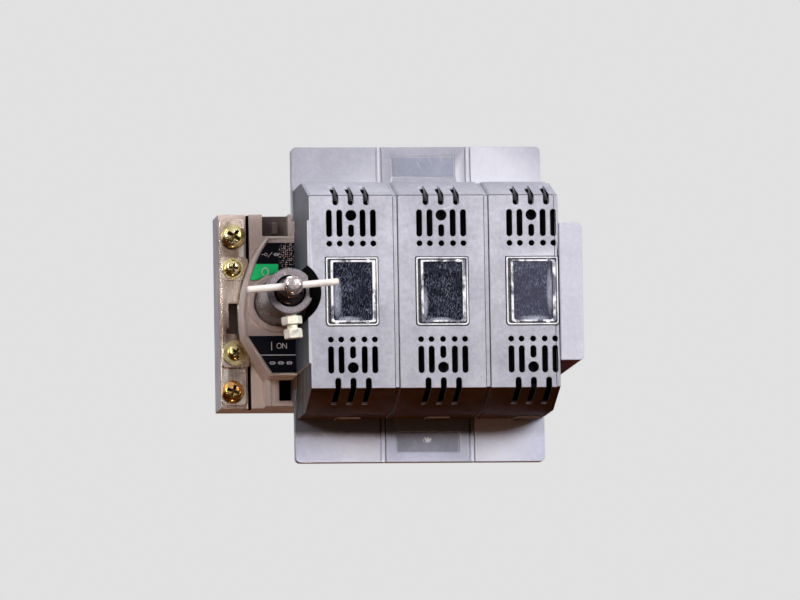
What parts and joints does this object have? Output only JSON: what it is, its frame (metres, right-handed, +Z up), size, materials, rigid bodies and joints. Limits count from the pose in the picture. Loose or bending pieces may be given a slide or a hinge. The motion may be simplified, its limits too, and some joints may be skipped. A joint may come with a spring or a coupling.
{
  "type": "fused disconnect switch",
  "caption": "Fused disconnect switch with side operating shaft, pull-off vented fuse shrouds with sight windows, and covered terminals.",
  "frame": {"origin": "centre of the rear mounting face, behind the middle pole at mid height", "axes": "+Y out of the rear mounting face, +Z up with the line terminals at the top, +X to the right as seen from the front"},
  "size_m": [0.1698, 0.1396, 0.156],
  "materials": {
    "grey_plastic": "moulded, fine satin grain",
    "cover_plastic": "moulded, fine satin grain",
    "body_plastic": "moulded, matt",
    "beige_plastic": "moulded, satin",
    "label_film": "printed film",
    "clear_plastic": "clear over a dark pane, polished",
    "zinc_steel": "bright zinc, rolled",
    "yellow_zinc": "yellow chromate zinc",
    "steel": "turned, bright",
    "cast_steel": "cast and faced",
    "copper": "rolled copper alloy",
    "ceramic": "glazed body with plated caps",
    "rotor_plastic": "moulded, matt"
  },
  "bodies": {
    "base": {"pole_body_1": "body_plastic", "line_contact_1": "copper", "fuse_clip_top_1": "copper", "fuse_clip_bottom_1": "copper", "fuse_link_1": "ceramic", "terminal_screw_top_1": "steel", "terminal_screw_bottom_1": "steel", "terminal_cover_top_1": "cover_plastic", "terminal_cover_bottom_1": "cover_plastic", "pole_body_2": "body_plastic", "line_contact_2": "copper", "fuse_clip_top_2": "copper", "fuse_clip_bottom_2": "copper", "fuse_link_2": "ceramic", "terminal_screw_top_2": "steel", "terminal_screw_bottom_2": "steel", "terminal_cover_top_2": "cover_plastic", "terminal_cover_bottom_2": "cover_plastic", "pole_body_3": "body_plastic", "line_contact_3": "copper", "fuse_clip_top_3": "copper", "fuse_clip_bottom_3": "copper", "fuse_link_3": "ceramic", "terminal_screw_top_3": "steel", "terminal_screw_bottom_3": "steel", "terminal_cover_top_3": "cover_plastic", "terminal_cover_bottom_3": "cover_plastic", "end_housing": "grey_plastic", "tie_rod_upper": "steel", "tie_rod_lower": "steel", "mechanism_base": "beige_plastic", "side_plate": "zinc_steel", "bracket_plate": "zinc_steel", "mech_screw_1": "yellow_zinc", "mech_screw_2": "yellow_zinc", "mech_screw_3": "yellow_zinc", "mech_screw_4": "yellow_zinc", "mech_washer_2": "yellow_zinc", "mech_washer_3": "yellow_zinc", "mechanism_cover": "beige_plastic", "label_upper": "label_film", "label_lower": "label_film", "bearing_bush": "beige_plastic", "toggle_spring": "steel"},
    "shaft": {"operating_shaft": "steel", "shaft_collar": "cast_steel", "cross_pin": "steel", "clamp_bolt": "yellow_zinc", "clamp_nut": "yellow_zinc", "drive_gear": "steel"},
    "rotor": {"rotor": "rotor_plastic", "moving_contact_1": "copper", "moving_contact_2": "copper", "moving_contact_3": "copper"},
    "shroud_1": {"fuse_shroud_1": "grey_plastic", "window_1": "clear_plastic"},
    "shroud_2": {"fuse_shroud_2": "grey_plastic", "window_2": "clear_plastic"},
    "shroud_3": {"fuse_shroud_3": "grey_plastic", "window_3": "clear_plastic"}
  },
  "joints": [
    {"name": "shaft_turn", "type": "hinge", "parent": "base", "child": "shaft", "pos_m": [-0.0752, 0, 0], "axis": [0, 1, 0], "range_deg": [0, 90]},
    {"name": "rotor_turn", "type": "hinge", "parent": "base", "child": "rotor", "pos_m": [0, -0.025, 0], "axis": [1, 0, 0], "range_deg": [0, 90]},
    {"name": "shroud_1_pull", "type": "slide", "parent": "base", "child": "shroud_1", "axis": [0, -1, 0], "range_m": [0, 0.015]},
    {"name": "shroud_2_pull", "type": "slide", "parent": "base", "child": "shroud_2", "axis": [0, -1, 0], "range_m": [0, 0.04]},
    {"name": "shroud_3_pull", "type": "slide", "parent": "base", "child": "shroud_3", "axis": [0, -1, 0], "range_m": [0, 0.04]}
  ],
  "couplings": [
    {"joint": "rotor_turn", "follows": "shaft_turn", "ratio": 1}
  ]
}
